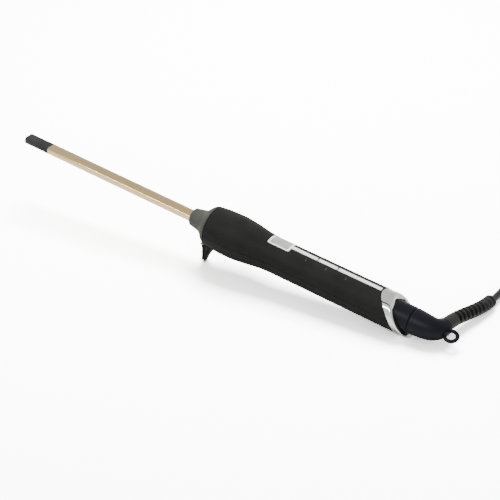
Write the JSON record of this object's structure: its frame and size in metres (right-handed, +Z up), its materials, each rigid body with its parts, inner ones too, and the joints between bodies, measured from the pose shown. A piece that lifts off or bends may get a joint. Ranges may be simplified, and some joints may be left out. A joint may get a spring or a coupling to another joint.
{
  "type": "curling wand",
  "caption": "Slim curling wand with a rectangular aluminium barrel, a rest foot, a display and buttons along the handle, and a swivel cord.",
  "frame": {"origin": "under the middle of the wand, on the surface that its foot and end ring stand on; the cord is not counted", "axes": "+X along the wand, from the tip to the cord; +Z up, on the side of the display; the tip end is pitched up because the wand stands on its foot"},
  "size_m": [0.5502, 0.1499, 0.0607],
  "materials": {
    "champagne_aluminium": "fine brushed, champagne gold",
    "black_soft_touch": "soft-touch matt black",
    "dark_grey_heat_plastic": "matt dark grey, heat proof",
    "navy_black_plastic": "satin navy-black",
    "chrome_plate": "bright plated",
    "black_pvc": "semi-matt black, flexible",
    "zinc_steel": "zinc plated",
    "brass": "plain",
    "plain_aluminium": "mill finish",
    "white_ceramic": "fired, matt",
    "circuit_laminate": "green solder mask",
    "component_epoxy": "moulded epoxy",
    "grey_window": "smoked, glossy"
  },
  "bodies": {
    "wand_body": {"tip_cap": "black_soft_touch", "barrel": "champagne_aluminium", "heater": "white_ceramic", "heat_spreader": "plain_aluminium", "heater_spring": "zinc_steel", "temperature_sensor": "component_epoxy", "heater_lead_left": "white_ceramic", "heater_lead_right": "white_ceramic", "barrel_holder": "white_ceramic", "nose_collar": "dark_grey_heat_plastic", "handle_upper_shell": "black_soft_touch", "handle_lower_shell": "black_soft_touch", "front_screw": "zinc_steel", "rear_screw": "zinc_steel", "display_bezel": "chrome_plate", "display_window": "grey_window", "display_module": "component_epoxy", "strip_trim": "chrome_plate", "power_switch": "component_epoxy", "minus_switch": "component_epoxy", "plus_switch": "component_epoxy", "circuit_board": "circuit_laminate", "film_capacitor": "circuit_laminate", "triac": "component_epoxy", "processor": "component_epoxy", "thermal_fuse": "plain_aluminium", "end_ring": "chrome_plate", "rear_cap": "navy_black_plastic", "contact_brush_1": "brass", "contact_brush_2": "brass", "mains_lead_1": "black_pvc", "mains_lead_2": "black_pvc", "cord_run": "black_pvc", "cord_coil": "black_pvc", "cord_tail": "black_pvc", "coil_tie": "black_pvc", "plug_guard": "black_pvc", "plug_body": "black_pvc", "plug_pin_1": "brass", "plug_pin_2": "brass"},
    "swivel": {"swivel_housing": "navy_black_plastic", "swivel_spindle": "navy_black_plastic", "slip_ring_1": "brass", "slip_ring_2": "brass", "spindle_clip": "zinc_steel", "strain_relief": "black_pvc"},
    "power_key": {"power_button": "chrome_plate"},
    "minus_key": {"minus_button": "chrome_plate"},
    "plus_key": {"plus_button": "chrome_plate"}
  },
  "joints": [
    {"name": "cord_swivel", "type": "hinge", "parent": "wand_body", "child": "swivel", "pos_m": [0.16438, 0, 0.01412], "axis": [0.9929, 0, -0.1189], "continuous": true},
    {"name": "power_press", "type": "slide", "parent": "wand_body", "child": "power_key", "axis": [-0.1189, 0, -0.9929], "range_m": [0, 0.0005], "stiffness_N_per_m": 300},
    {"name": "minus_press", "type": "slide", "parent": "wand_body", "child": "minus_key", "axis": [-0.1189, 0, -0.9929], "range_m": [0, 0.0005], "stiffness_N_per_m": 300},
    {"name": "plus_press", "type": "slide", "parent": "wand_body", "child": "plus_key", "axis": [-0.1189, 0, -0.9929], "range_m": [0, 0.0005], "stiffness_N_per_m": 300}
  ]
}
